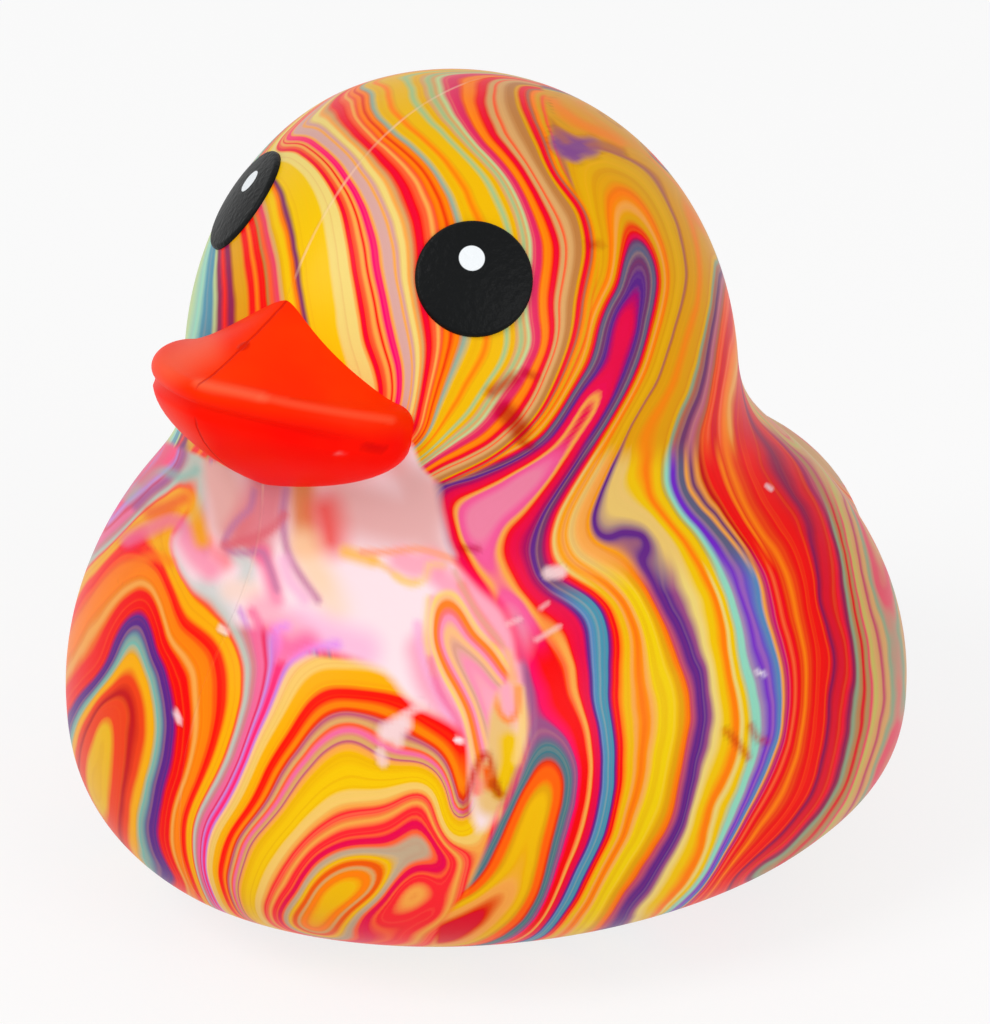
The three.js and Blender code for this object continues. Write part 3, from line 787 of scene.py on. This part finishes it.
def globe(n):
    """Unit directions and four-sided faces of a cube blown up to a ball, n faces along each edge."""
    seen = {}
    dirs = []
    faces = []
    steps = np.tan(np.linspace(-math.pi / 4, math.pi / 4, n + 1))
    for axis in range(3):
        for side in (-1, 1):
            ids = np.empty((n + 1, n + 1), int)
            for i in range(n + 1):
                for j in range(n + 1):
                    cell = ((0 if side < 0 else n, i, j) * 2)[3 - axis:6 - axis]
                    if cell not in seen:
                        seen[cell] = len(dirs)
                        dirs.append(steps[list(cell)])
                    ids[i, j] = seen[cell]
            for i in range(n):
                for j in range(n):
                    quad = (ids[i, j], ids[i + 1, j], ids[i + 1, j + 1], ids[i, j + 1])
                    faces.append(tuple(int(q) for q in (quad if side > 0 else quad[::-1])))
    dirs = np.array(dirs)
    return dirs / np.linalg.norm(dirs, axis=1, keepdims=True), faces


SKIN_FINENESS = 124
SKIN_CROWDING = 0.38  # how strongly the skin's points crowd toward the view
directions, skin_faces = globe(SKIN_FINENESS)
directions += SKIN_CROWDING * VIEW_BACK
directions /= np.linalg.norm(directions, axis=1)[:, None]
skin_points = leave(HEART, directions)
skin_points[:, 2] = np.maximum(skin_points[:, 2], 0.0)


def turns_of(count):
    """Angles once round."""
    return [2 * math.pi * i / count for i in range(count)]


def closed(first, sections, last):
    """Points and faces of a closed shape from its first point, like sections round it and its last point."""
    turns, count = len(sections), len(sections[0])
    end = 1 + turns * count

    def at(i, j):
        return 1 + (i % turns) * count + j
    faces = []
    for i in range(turns):
        faces.append((0, at(i + 1, 0), at(i, 0)))
        faces += [(at(i, j), at(i + 1, j), at(i + 1, j + 1), at(i, j + 1)) for j in range(count - 1)]
        faces.append((end, at(i, count - 1), at(i + 1, count - 1)))
    return np.array([first] + sum(sections, []) + [last]), faces


# Bill: a pointed-arch plan on a plane tipped up at the front, as in the CAD.
BILL_AT = np.array([0.0, -31.0, 59.9])
BILL_TILT = math.radians(16)
BILL_AHEAD = np.array([0.0, -math.cos(BILL_TILT), math.sin(BILL_TILT)])
BILL_RISE = np.array([0.0, math.sin(BILL_TILT), math.cos(BILL_TILT)])
BILL_SIDE = np.array([-1.0, 0.0, 0.0])
BILL_HALF_WIDTH, BILL_REACH, BILL_ROOT, BILL_SHIFT, BILL_FULLNESS = 15.0, 14.0, 9.0, 2.0, 1.6
BILL_CROWN, BILL_RIDGE_POWER, BILL_FLANK_POWER = 9.3, 1.15, 1.6
LIP_FRONT, LIP_SIDE, LIP_SAG, MOUTH_GROOVE = 2.4, 3.6, 1.3, 0.9
CHIN_BULGE, CHIN_DROP, CHIN_INSET = 5.8, 3.3, 0.4
MOUTH_OPENS = (0.05, 0.6)
BILL_TURNS = 144
CROWN_ROWS = np.linspace(0.03, 0.95, 24)
LIP_ROWS, CHIN_ROWS = np.linspace(78, -44, 13), np.linspace(8, 84, 16)  # degrees round lip and chin


def bill_section(angle):
    """Radius and height pairs down the bill from the crown, round the lip and under the chin."""
    ahead = math.cos(angle)
    aside = abs(math.sin(angle))
    n = BILL_FULLNESS if ahead > 0 else 2
    length = BILL_REACH if ahead > 0 else BILL_ROOT
    outer = ((aside / BILL_HALF_WIDTH) ** n + (abs(ahead) / length) ** n) ** (-1 / n)
    ahead = max(ahead, 0)
    lip = ramp(LIP_SIDE, LIP_FRONT, ahead)
    bend = lip / 2
    power = ramp(BILL_FLANK_POWER, BILL_RIDGE_POWER, ahead * ahead)
    opened = float(ease(ahead, *MOUTH_OPENS))
    rows = [((outer - bend) * t, lip + BILL_CROWN * (1 - t) ** power) for t in CROWN_ROWS]
    for degrees in LIP_ROWS:
        a = math.radians(degrees)
        tuck = opened if degrees < 0 else 1
        rows.append((outer - bend + bend * (1 - tuck * (1 - math.cos(a))), bend + bend * math.sin(a)))
    rows.append((outer - MOUTH_GROOVE * opened, 0))
    chin = outer - CHIN_INSET * opened
    for degrees in CHIN_ROWS:
        a = math.radians(degrees)
        rows.append((chin * math.cos(a), -CHIN_BULGE * math.sin(a) - CHIN_DROP * (1 - math.cos(a))))
    sag = LIP_SAG * (1 - ahead)
    return [(r, h - sag * (r / outer) ** 2) for r, h in rows]


def bill_mesh():
    """Points, faces and own across, along and rise of the bill."""
    sections = [[(r * math.sin(angle), BILL_SHIFT + r * math.cos(angle), h) for r, h in bill_section(angle)]
                for angle in turns_of(BILL_TURNS)]
    crown = (0, BILL_SHIFT, ramp(LIP_SIDE, LIP_FRONT, 0.5) + BILL_CROWN)
    local, faces = closed(crown, sections, (0, BILL_SHIFT, -(CHIN_BULGE + CHIN_DROP)))
    points = BILL_AT + local[:, :1] * BILL_SIDE + local[:, 1:2] * BILL_AHEAD + local[:, 2:] * BILL_RISE
    return points, faces, local


bill_points, bill_faces, bill_local = bill_mesh()
bill_spots, _ = picture(bill_points)
duck_bill = make("duck_bill", bill_points, bill_faces, {
    "across": bill_local[:, 0], "along": bill_local[:, 1], "rise": bill_local[:, 2],
    "marks": strokes(bill_spots, np.ones(len(bill_spots), bool), BILL_LIGHT_AND_MARKS)})

# Eyes: shallow discs on the head.
EYE_RADIUS, EYE_PROUD, EYE_EDGE, EYE_ROOT, EYE_DOME = 5.8, 0.5, 0.45, 1.6, 29.0
EYE_TURNS = 96
EDGE_ROWS = np.linspace(0, 84, 8)  # degrees round the soft edge
FACE_ROWS = (0.97, 0.88, 0.74, 0.58, 0.4, 0.2)
EYE_AIMS = {1: np.radians((42.7, 42.6)), -1: np.radians((41.4, 44.4))}  # turn and lift of each side


def eye_mesh(side):
    """Points, faces and own across, up and rise of an eye disc."""
    crown = EYE_DOME - math.sqrt(EYE_DOME ** 2 - EYE_RADIUS ** 2)

    def top(r):
        return EYE_PROUD + crown - (EYE_DOME - math.sqrt(EYE_DOME ** 2 - r ** 2))
    shoulder = EYE_RADIUS - EYE_EDGE
    rings = [(EYE_RADIUS, -EYE_ROOT)]
    for degrees in EDGE_ROWS:
        a = math.radians(degrees)
        rings.append((shoulder + EYE_EDGE * math.cos(a), top(shoulder) - EYE_EDGE + EYE_EDGE * math.sin(a)))
    rings += [(shoulder * s, top(shoulder * s)) for s in FACE_ROWS]
    turn, lift = EYE_AIMS[side]
    flat = math.cos(lift)
    aim = np.array([side * math.sin(turn) * flat, -math.cos(turn) * flat, math.sin(lift)])
    spot = leave(np.array([0.0, HEAD["y"], HEAD["z"]]), aim[None])[0]
    out = normals(spot[None])[0]
    level = np.cross((0, 0, 1), out)
    level /= np.linalg.norm(level)
    rise = np.cross(out, level)
    sections = [[(r * math.cos(angle), r * math.sin(angle), h) for r, h in rings]
                for angle in turns_of(EYE_TURNS)]
    local, faces = closed((0, 0, -EYE_ROOT), sections, (0, 0, top(0)))
    points = spot + local[:, :1] * level + local[:, 1:2] * rise + (local[:, 2:] - crown) * out
    return points, faces, local


eyes = []
for name, side in (("duck_eye_left", 1), ("duck_eye_right", -1)):
    points, faces, local = eye_mesh(side)
    eyes.append(make(name, points, faces, {
        "eye_across": local[:, 0], "eye_up": local[:, 1], "eye_rise": local[:, 2]}))

duck_skin = make("duck_skin", skin_points, skin_faces, print_fields(skin_points))

OUTER_BAND = 60  # how far the first and last ink reach out
SOFT_SHARE = 0.4  # the most of a band that a soft edge takes
RAMP_STOPS = 31  # stops of one colour ramp
STREAK_PACE = 0.17
PALE_STREAK = ((0.5, 0.78), 0.16, (252, 196, 130))  # edges in the noise, strength and colour
DARK_STREAK = ((0.5, 0.24), 0.14, (200, 60, 60))


class Paint:
    """A material with short ways to add and join its nodes."""

    def __init__(self, name):
        self.material = bpy.data.materials.new(name)
        self.material.use_nodes = True
        self.tree = self.material.node_tree
        self.surface = self.tree.nodes["Principled BSDF"]

    def node(self, kind, **inputs):
        """A new node; an input is set by its name, or by its number as _0, _1 and so on."""
        made = self.tree.nodes.new("ShaderNode" + kind)
        for key, value in inputs.items():
            self.put(made.inputs[int(key[1:]) if key[0] == "_" else key.replace("_", " ")], value)
        return made

    def put(self, socket, value):
        if isinstance(value, bpy.types.NodeSocket):
            self.tree.links.new(value, socket)
        else:
            socket.default_value = value

    def finish(self, colour, roughness, specular, normal):
        """Sets the surface and gives the material."""
        self.put(self.surface.inputs["Base Color"], colour)
        self.surface.inputs["Roughness"].default_value = roughness
        self.surface.inputs["Specular IOR Level"].default_value = specular
        self.put(self.surface.inputs["Normal"], normal)
        return self.material

    def math(self, operation, a, b=0.0, c=0.0, clamp=False):
        made = self.node("Math", _0=a, _1=b, _2=c)
        made.operation = operation
        made.use_clamp = clamp
        return made.outputs[0]

    def add(self, a, b):
        return self.math("ADD", a, b)

    def take(self, a, b):
        return self.math("SUBTRACT", a, b)

    def times(self, a, b):
        return self.math("MULTIPLY", a, b)

    def absolute(self, a):
        return self.math("ABSOLUTE", a)

    def length(self, x, y):
        return self.math("SQRT", self.add(self.times(x, x), self.times(y, y)))

    def field(self, name, part="Fac"):
        """A value or, as its part Color or Alpha, a colour kept on the mesh."""
        made = self.tree.nodes.new("ShaderNodeAttribute")
        made.attribute_name = name
        return made.outputs[part]

    def mix(self, share, a, b):
        made = self.node("Mix")
        made.data_type = "RGBA"
        self.put(made.inputs[0], share)
        for socket, colour in zip(made.inputs[6:8], (a, b)):
            self.put(socket, colour if isinstance(colour, bpy.types.NodeSocket) else (*linear(colour), 1))
        return made.outputs[2]

    def span(self, value, a, b):
        """0 at a and 1 at b, with soft ends."""
        made = self.node("MapRange", _0=value, _1=a, _2=b)
        made.interpolation_type = "SMOOTHSTEP"
        return made.outputs[0]

    def noise(self, at, scale, detail=2.0):
        return self.node("TexNoise", Vector=at, Scale=scale, Detail=detail).outputs["Fac"]

    def bump(self, height, strength, distance, base=None):
        made = self.node("Bump", Strength=strength, Distance=distance, Height=height)
        if base is not None:
            self.put(made.inputs["Normal"], base)
        return made.outputs["Normal"]

    def streaked(self, value, colour):
        """Fine paler and darker lines along the layers."""
        made = self.node("TexNoise", Scale=1.0)
        made.noise_dimensions = "1D"
        self.put(made.inputs["W"], self.times(value, STREAK_PACE))
        for edges, strength, ink in (PALE_STREAK, DARK_STREAK):
            colour = self.mix(self.times(self.span(made.outputs["Fac"], *edges), strength), colour, ink)
        return colour

    def bands(self, value, table, soft):
        """Colour of a layer value: bands of ink, each up to its own value, with soft edges."""
        stops = []
        low = table[0][0] - OUTER_BAND
        for i, (edge, ink) in enumerate(table):
            colour = (*linear(INKS[ink]), 1)
            after = table[i + 1][0] if i + 1 < len(table) else edge + OUTER_BAND
            give = min(soft, SOFT_SHARE * (edge - low))
            stops += [(low + (give if i else 0), colour),
                      (edge - min(give, SOFT_SHARE * (after - edge)), colour)]
            low = edge
        colour = None
        for k in range(0, len(stops) - 1, RAMP_STOPS - 1):
            part = stops[k:k + RAMP_STOPS]
            first, last = part[0][0], part[-1][0]
            share = self.math("DIVIDE", self.take(value, first), last - first, clamp=True)
            made = self.node("ValToRGB", Fac=share)
            elements = made.color_ramp.elements
            elements[0].position, elements[1].position = 0.0, 1.0
            elements[0].color, elements[1].color = part[0][1], part[-1][1]
            for spot, shade in part[1:-1]:
                elements.new((spot - first) / (last - first)).color = shade
            if colour is None:
                colour = made.outputs["Color"]
            else:
                colour = self.mix(self.math("GREATER_THAN", value, first), colour, made.outputs["Color"])
        return colour


WAVER = 4.0
FOLD_A, FOLD_B = 284.0, 12.0  # where the layers turn back on the hidden side
BODY_SOFT = 2.8
MOULD_EDGE, MOULD_CORE = 0.00026, 0.00006  # metres to either side of the mould line
# The pale colour of the mould line is a painted highlight; the next line sets its strength.
MOULD_BREAST, MOULD_HEAD = 0.14, 0.3  # its strength low down, and what is added up the head
MOULD_CHANGE = (0.045, 0.06)


def skin_paint():
    """Marbled vinyl: the layers of each zone, the strokes and marks, some strokes being painted shade under
    the bill, and the mould line, raised and with a painted highlight along it.
    """
    p = Paint("marbled_vinyl")
    place = p.node("TexCoord").outputs["Object"]
    across, _, height = p.node("SeparateXYZ", _0=place).outputs

    # The layers waver a little, as ink on water does.
    waver = p.times(p.take(p.noise(place, scale=210.0, detail=1.0), 0.5), WAVER)
    a, b, c, e = (p.add(p.field("ink_" + name), waver) for name in "abce")
    a = p.take(FOLD_A, p.absolute(p.take(a, FOLD_A)))
    b = p.take(p.absolute(p.add(b, FOLD_B)), FOLD_B)
    colour = p.streaked(a, p.bands(a, BODY_A, BODY_SOFT))
    # Each zone over those before it: its layers and inks, and how soft its own edge and its bands are. Zone
    # d takes the pale patch's strokes, painted shade under the bill among them.
    for zone, value, table, edge, soft in (
            ("neck", a, NECK_A, 26.0, 2.8), ("head", a, HEAD_A, 20.0, 2.6), ("c", c, INK_C, 4.0, 2.8),
            ("d", None, None, 8.0, 0), ("e", e, INK_E, 5.0, 2.2), ("b", b, INK_B, 4.0, 2.2)):
        share = p.span(p.field("zone_" + zone), -edge, edge)
        over = p.streaked(value, p.bands(value, table, soft)) if table else p.field("wash_and_shade", "Color")
        colour = p.mix(share, colour, over)
    colour = p.mix(p.field("marks", "Alpha"), colour, p.field("marks", "Color"))

    # Mould line: a thin raised line where the two halves of the mould met, with a painted highlight along it
    # in pale colour.
    line = p.span(p.absolute(across), MOULD_EDGE, MOULD_CORE)
    # The painted highlight on the mould line, broken up by noise.
    line_glint = p.times(line, p.span(p.noise(place, scale=180.0), 0.3, 0.7))
    strength = p.math("MULTIPLY_ADD", p.span(height, *MOULD_CHANGE), MOULD_HEAD, MOULD_BREAST)
    colour = p.mix(p.times(line_glint, strength), colour, (255, 214, 186))
    colour = p.node("HueSaturation", Saturation=1.07, Color=colour).outputs["Color"]
    fine = p.bump(p.noise(place, scale=900.0), strength=0.06, distance=0.0002)
    normal = p.bump(line, strength=0.5, distance=0.00012, base=fine)
    return p.finish(colour, roughness=0.36, specular=0.075, normal=normal)


KNOT_ALONG = 9.7
KNOT_EDGE, KNOT_CORE = 0.75, 0.3
BILL_LINE_EDGE, BILL_LINE_CORE, BILL_LINE_WANDER = 0.2, 0.06, 0.3
LOWER_TO_UPPER = (-0.8, 2.6)  # LOWER_TO_UPPER = (-0.8, 2.6) # heights over which the deeper colour, painted shade under the lip, gives way


def bill_paint():
    """Orange bill, with painted shade deepening it below the lip, strokes of painted highlight and painted
    shade, its mould line and a rough spot on that.
    """
    p = Paint("orange_bill")
    place = p.node("TexCoord").outputs["Object"]
    x, along, rise = (p.field(name) for name in ("across", "along", "rise"))
    tone = p.span(p.noise(place, scale=90.0, detail=3.0), 0.3, 0.7)
    upper = p.mix(tone, (255, 42, 0), (255, 54, 0))
    # Painted shade: the one orange of the bill is drawn deeper red below the lip.
    shaded_lower = p.mix(tone, (255, 6, 0), (255, 20, 0))
    colour = p.mix(p.span(rise, *LOWER_TO_UPPER), shaded_lower, upper)
    # The bill's marks are a painted highlight along the lip and below it, painted shade in the mouth groove,
    # and a fleck.
    colour = p.mix(p.field("marks", "Alpha"), colour, p.field("marks", "Color"))
    across = p.add(x, p.times(p.take(p.noise(place, scale=700.0), 0.5), BILL_LINE_WANDER))
    off_mouth = p.span(p.absolute(p.take(rise, 0.2)), 1.0, 2.2)
    line = p.times(p.span(p.absolute(across), BILL_LINE_EDGE, BILL_LINE_CORE), off_mouth)
    far = p.length(x, p.take(along, KNOT_ALONG))
    knot = p.times(p.span(far, KNOT_EDGE, KNOT_CORE), p.span(rise, 3.0, 4.0))
    colour = p.mix(p.times(p.math("MAXIMUM", line, knot), 0.6), colour, (206, 16, 6))
    fine = p.bump(p.noise(place, scale=1500.0), strength=0.08, distance=0.0002)
    normal = p.bump(p.take(p.times(knot, 2.0), line), strength=0.6, distance=0.00015, base=fine)
    return p.finish(colour, roughness=0.42, specular=0.03, normal=normal)


DOT_ACROSS, DOT_UP = -0.15, 1.88
DOT_OUTER, DOT_INNER = 1.31, 1.23


def eye_paint():
    """Satin black with a white dot."""
    p = Paint("black_eye")
    far = p.length(p.take(p.field("eye_across"), DOT_ACROSS), p.take(p.field("eye_up"), DOT_UP))
    dot = p.times(p.span(far, DOT_OUTER, DOT_INNER), p.math("GREATER_THAN", p.field("eye_rise"), 0.1))
    peel = p.noise(p.node("TexCoord").outputs["Object"], scale=1500.0)
    return p.finish(p.mix(dot, (6, 8, 9), (236, 240, 243)), roughness=0.45, specular=0.11,
                    normal=p.bump(peel, strength=0.35, distance=0.0004))


duck_skin.data.materials.append(skin_paint())
duck_bill.data.materials.append(bill_paint())
black = eye_paint()
for eye in eyes:
    eye.data.materials.append(black)

# Floor, light and camera.
FLOOR_HALF = 3.0
FLOOR_WHITE_SHARE = 0.8
WHITE = (1, 1, 1, 1)


def background_rays(tree):
    """1 for the rays that show the background: from the camera, off metal and through glass."""
    path = tree.nodes.new("ShaderNodeLightPath")
    rays = path.outputs["Is Camera Ray"]
    for kind in ("Is Glossy Ray", "Is Transmission Ray"):
        either = tree.nodes.new("ShaderNodeMath")
        either.operation = "MAXIMUM"
        tree.links.new(rays, either.inputs[0])
        tree.links.new(path.outputs[kind], either.inputs[1])
        rays = either.outputs[0]
    return rays


def white_floor():
    """Pale floor that takes the shadow and shows nearly white."""
    p = Paint("floor_white")
    p.surface.inputs["Base Color"].default_value = (0.9, 0.9, 0.9, 1)
    p.surface.inputs["Roughness"].default_value = 0.9
    white = p.node("Emission", Color=WHITE, Strength=1.0)
    both = p.node("MixShader", _0=p.times(background_rays(p.tree), FLOOR_WHITE_SHARE),
                  _1=p.surface.outputs[0], _2=white.outputs[0])
    p.put(p.tree.nodes["Material Output"].inputs["Surface"], both.outputs[0])
    return p.material


floor_mesh = bpy.data.meshes.new("floor")
floor_mesh.from_pydata([(-FLOOR_HALF, -FLOOR_HALF, 0), (FLOOR_HALF, -FLOOR_HALF, 0),
                        (FLOOR_HALF, FLOOR_HALF, 0), (-FLOOR_HALF, FLOOR_HALF, 0)], [], [(0, 1, 2, 3)])
floor = bpy.data.objects.new("floor", floor_mesh)
bpy.context.scene.collection.objects.link(floor)
floor_mesh.materials.append(white_floor())

SOFT_LIGHT, PLAIN_WHITE = 0.55, 1.0
world = bpy.data.worlds.new("studio")
bpy.context.scene.world = world
world.use_nodes = True
nodes = world.node_tree.nodes
links = world.node_tree.links
nodes.clear()
either = nodes.new("ShaderNodeMixShader")
links.new(background_rays(world.node_tree), either.inputs["Fac"])
for slot, strength in ((1, SOFT_LIGHT), (2, PLAIN_WHITE)):
    sky = nodes.new("ShaderNodeBackground")
    sky.inputs["Color"].default_value = WHITE
    sky.inputs["Strength"].default_value = strength
    links.new(sky.outputs["Background"], either.inputs[slot])
links.new(either.outputs["Shader"], nodes.new("ShaderNodeOutputWorld").inputs["Surface"])

LAMP_AIM = np.array([0, 0, 0.04])


def placing(right, up, back, place):
    """The matrix that stands a lamp or camera at a place, looking against back."""
    return Matrix([[float(v[i]) for v in (right, up, back, place)] for i in range(3)] + [[0, 0, 0, 1]])


def lamp(name, place, power, size):
    """A round soft lamp that looks at the duck."""
    light = bpy.data.lights.new(name, "AREA")
    light.shape = "DISK"
    light.size = size
    light.energy = power
    thing = bpy.data.objects.new(name, light)
    back = np.array(place) - LAMP_AIM
    back /= np.linalg.norm(back)
    right = np.cross((0, 0, 1), back)
    right /= np.linalg.norm(right)
    thing.matrix_world = placing(right, np.cross(back, right), back, place)
    bpy.context.scene.collection.objects.link(thing)


lamp("key", place=(-0.25, -0.75, 0.85), power=5.0, size=0.5)
lamp("fill", place=(0.95, -0.2, 0.45), power=3.0, size=0.6)

PICTURE_WIDE, PICTURE_HIGH = 990, 1024
FILM = 36.0
camera_data = bpy.data.cameras.new("camera")
camera_data.sensor_width = FILM
camera_data.lens = FILM * VIEW_FOCUS / PICTURE_HIGH
camera_data.shift_x = (PICTURE_WIDE / 2 - VIEW_MIDDLE[0]) / PICTURE_HIGH
camera_data.shift_y = (VIEW_MIDDLE[1] - PICTURE_HIGH / 2) / PICTURE_HIGH
camera_data.clip_start = 0.01
camera_data.clip_end = 50
camera = bpy.data.objects.new("camera", camera_data)
bpy.context.scene.collection.objects.link(camera)
bpy.context.scene.camera = camera
camera.matrix_world = placing(VIEW_RIGHT, VIEW_UP, VIEW_BACK, (VIEW_EYE + (0, CENTRING, 0)) * MM)
bpy.context.scene.view_settings.view_transform = "Standard"

for piece in (duck_skin, duck_bill, *eyes):
    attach(piece, "root")
    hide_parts("duck")
